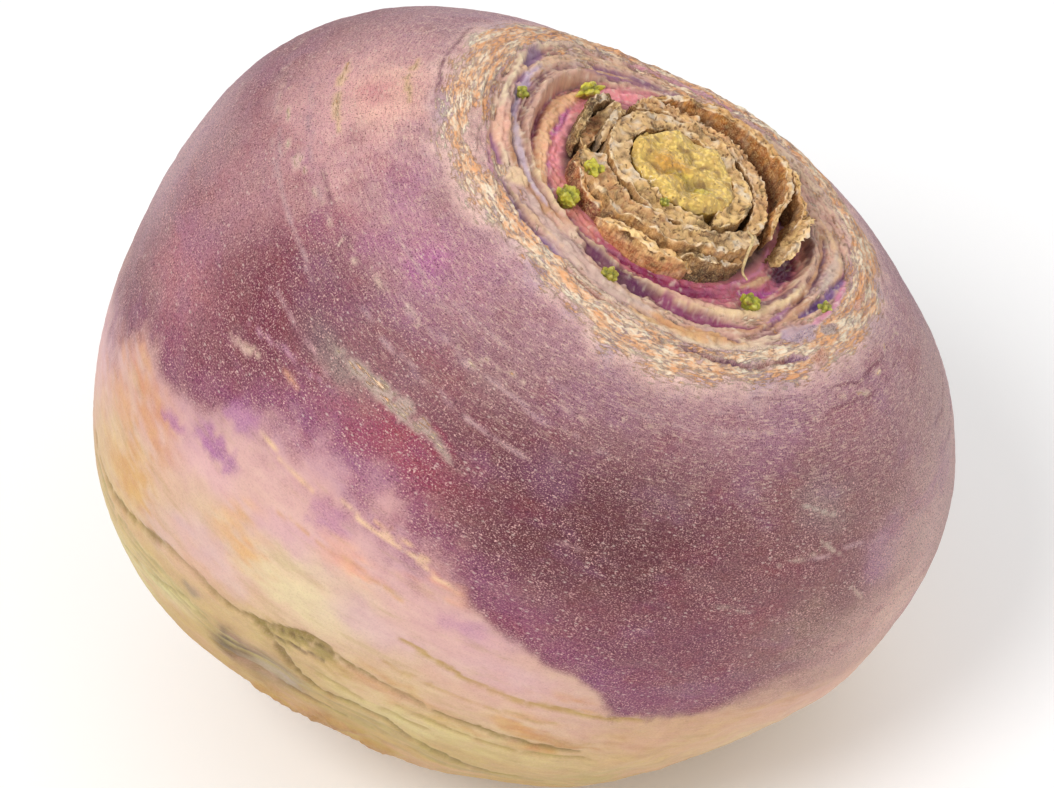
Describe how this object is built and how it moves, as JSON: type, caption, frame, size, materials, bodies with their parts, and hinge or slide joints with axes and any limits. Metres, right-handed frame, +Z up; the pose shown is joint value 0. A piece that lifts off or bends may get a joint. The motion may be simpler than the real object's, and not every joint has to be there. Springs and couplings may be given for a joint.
{
  "type": "turnip",
  "caption": "Whole purple-topped turnip root with a trimmed, cork-edged leaf crown, lying tilted on a small flat spot on its belly.",
  "frame": {"origin": "on the surface it rests on, under the middle of its outline box", "axes": "+Z up; the crown leans from +Z towards +X by 26 degrees; -Y is the side with the mottled edge of the purple"},
  "size_m": [0.1112, 0.1024, 0.0974],
  "materials": {
    "skin": "waxy skin, mottled purple above and cream below, with fine pale speckle and a corky tan ring round the crown",
    "pith": "moist cut pith, yellow-green",
    "dry_leaf": "dry, fibrous and papery, tan to grey-brown",
    "bud": "small fleshy bud, yellow-green"
  },
  "bodies": {
    "root": {"swollen_root": "skin", "cut_stem": "pith", "leaf_base_inner": "dry_leaf", "leaf_base_second": "dry_leaf", "leaf_base_left": "dry_leaf", "leaf_base_toothed": "dry_leaf", "leaf_base_tall": "dry_leaf", "leaf_base_frill": "dry_leaf", "leaf_base_pale": "dry_leaf", "axil_bud_1": "bud", "axil_bud_2": "bud", "axil_bud_3": "bud", "axil_bud_4": "bud", "axil_bud_5": "bud", "axil_bud_6": "bud", "axil_bud_7": "bud", "axil_bud_8": "bud"}
  },
  "joints": []
}
